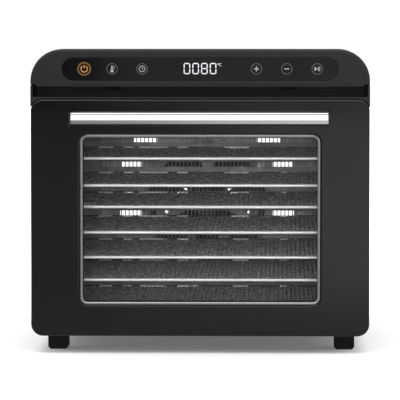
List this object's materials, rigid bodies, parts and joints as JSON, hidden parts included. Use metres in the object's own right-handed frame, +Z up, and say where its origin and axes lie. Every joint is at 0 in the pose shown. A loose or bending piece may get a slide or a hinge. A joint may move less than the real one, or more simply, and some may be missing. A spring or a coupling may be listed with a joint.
{
  "type": "food dehydrator",
  "caption": "Cabinet food dehydrator with a glazed drop-down door, a bar handle, wire trays on side rails, a touch panel above, and a fan and ring heater behind.",
  "frame": {"origin": "on the table under the middle of the object, which stands on its four feet", "axes": "+Z up, +Y from the door towards the rear cover, +X towards the right side seen from the front"},
  "size_m": [0.347, 0.45, 0.312],
  "materials": {
    "cabinet_black": "satin",
    "door_gloss": "gloss",
    "moulding_black": "satin",
    "panel_gloss": "gloss",
    "display_black": "matt",
    "circuit_board": "satin",
    "liner_steel": "satin",
    "tray_steel": "polished",
    "bright_trim": "polished",
    "window_glass": "clear, lightly smoked",
    "black_rubber": "matt",
    "fitting_steel": "satin",
    "heater_sheath": "matt, heat-stained",
    "magnet_grey": "matt ferrite",
    "nut_brass": "satin"
  },
  "bodies": {
    "cabinet": {"outer_wrap": "cabinet_black", "base_pan": "cabinet_black", "front_frame": "cabinet_black", "control_head": "cabinet_black", "touch_panel": "panel_gloss", "display_module": "display_black", "touch_board": "circuit_board", "power_board": "circuit_board", "top_liner": "liner_steel", "bottom_liner": "liner_steel", "side_liner_left": "liner_steel", "side_liner_right": "liner_steel", "rear_wall": "liner_steel", "air_sensor": "fitting_steel", "thermal_cutout": "fitting_steel", "fan_shroud": "liner_steel", "motor_plate": "liner_steel", "motor": "fitting_steel", "heater_ring": "heater_sheath", "heater_clip_left": "fitting_steel", "heater_clip_right": "fitting_steel", "rear_cover": "cabinet_black", "power_inlet": "moulding_black", "head_clip_left": "moulding_black", "head_clip_right": "moulding_black", "hinge_arm_left": "fitting_steel", "hinge_arm_right": "fitting_steel", "magnet_left": "magnet_grey", "magnet_right": "magnet_grey", "foot_front_left": "black_rubber", "foot_front_right": "black_rubber", "foot_rear_left": "black_rubber", "foot_rear_right": "black_rubber", "rear_screw_1": "fitting_steel", "rear_screw_2": "fitting_steel", "rear_screw_3": "fitting_steel", "rear_screw_4": "fitting_steel"},
    "door": {"door_panel": "door_gloss", "door_inner": "moulding_black", "door_glass": "window_glass", "window_trim": "bright_trim", "handle_bar": "bright_trim", "door_seal": "black_rubber", "handle_end_left": "moulding_black", "handle_end_right": "moulding_black", "strike_plate_left": "fitting_steel", "strike_plate_right": "fitting_steel", "hinge_pin_left": "fitting_steel", "hinge_pin_right": "fitting_steel"},
    "fan": {"fan_wheel": "moulding_black", "motor_shaft": "fitting_steel", "fan_nut": "nut_brass"},
    "tray_1": {"tray_1": "tray_steel"},
    "tray_2": {"tray_2": "tray_steel"},
    "tray_3": {"tray_3": "tray_steel"},
    "tray_4": {"tray_4": "tray_steel"},
    "tray_5": {"tray_5": "tray_steel"},
    "tray_6": {"tray_6": "tray_steel"},
    "tray_7": {"tray_7": "tray_steel"}
  },
  "joints": [
    {"name": "door_hinge", "type": "hinge", "parent": "cabinet", "child": "door", "pos_m": [0, -0.183, 0.0265], "axis": [1, 0, 0], "range_deg": [0, 80]},
    {"name": "fan_spin", "type": "hinge", "parent": "cabinet", "child": "fan", "pos_m": [0, 0.1605, 0.133], "axis": [0, 1, 0], "continuous": true},
    {"name": "tray_1_slide", "type": "slide", "parent": "cabinet", "child": "tray_1", "axis": [0, -1, 0], "range_m": [0, 0.02]},
    {"name": "tray_2_slide", "type": "slide", "parent": "cabinet", "child": "tray_2", "axis": [0, -1, 0], "range_m": [0, 0.02]},
    {"name": "tray_3_slide", "type": "slide", "parent": "cabinet", "child": "tray_3", "axis": [0, -1, 0], "range_m": [0, 0.02]},
    {"name": "tray_4_slide", "type": "slide", "parent": "cabinet", "child": "tray_4", "axis": [0, -1, 0], "range_m": [0, 0.02]},
    {"name": "tray_5_slide", "type": "slide", "parent": "cabinet", "child": "tray_5", "axis": [0, -1, 0], "range_m": [0, 0.02]},
    {"name": "tray_6_slide", "type": "slide", "parent": "cabinet", "child": "tray_6", "axis": [0, -1, 0], "range_m": [0, 0.02]},
    {"name": "tray_7_slide", "type": "slide", "parent": "cabinet", "child": "tray_7", "axis": [0, -1, 0], "range_m": [0, 0.02]}
  ]
}
